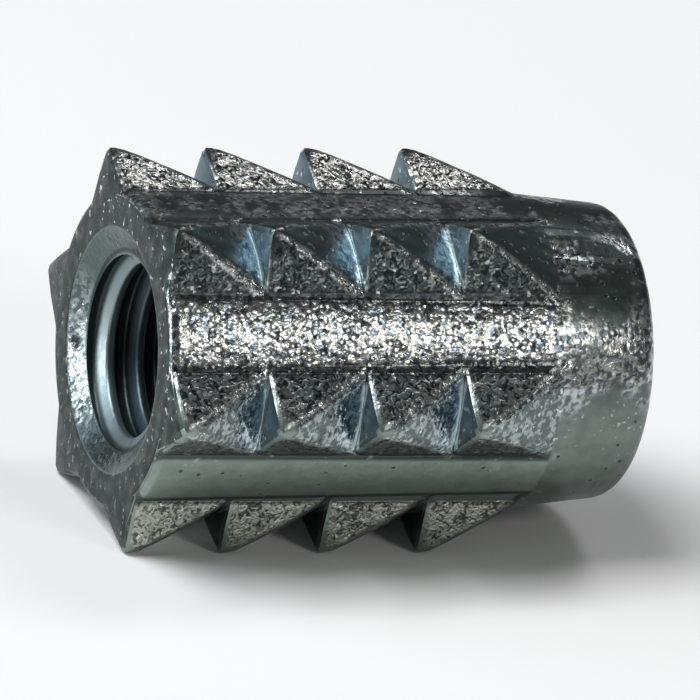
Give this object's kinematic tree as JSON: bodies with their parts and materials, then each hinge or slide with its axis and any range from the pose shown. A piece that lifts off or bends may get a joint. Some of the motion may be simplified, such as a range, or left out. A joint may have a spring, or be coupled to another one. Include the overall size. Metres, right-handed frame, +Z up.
{
  "type": "threaded wood insert",
  "caption": "Knock-in threaded insert for wood: a die-cast sleeve with a machine-screw thread through it and rows of sawtooth barbs round its body.",
  "frame": {"origin": "on the surface that the two lowest barb rows lie on, below the middle of the length", "axes": "+X along the insert's axis, from the threaded mouth to the plain pilot; +Z up"},
  "size_m": [0.013, 0.01, 0.0088],
  "materials": {
    "zinc": "satin"
  },
  "bodies": {
    "root": {"insert_body": "zinc"}
  },
  "joints": []
}
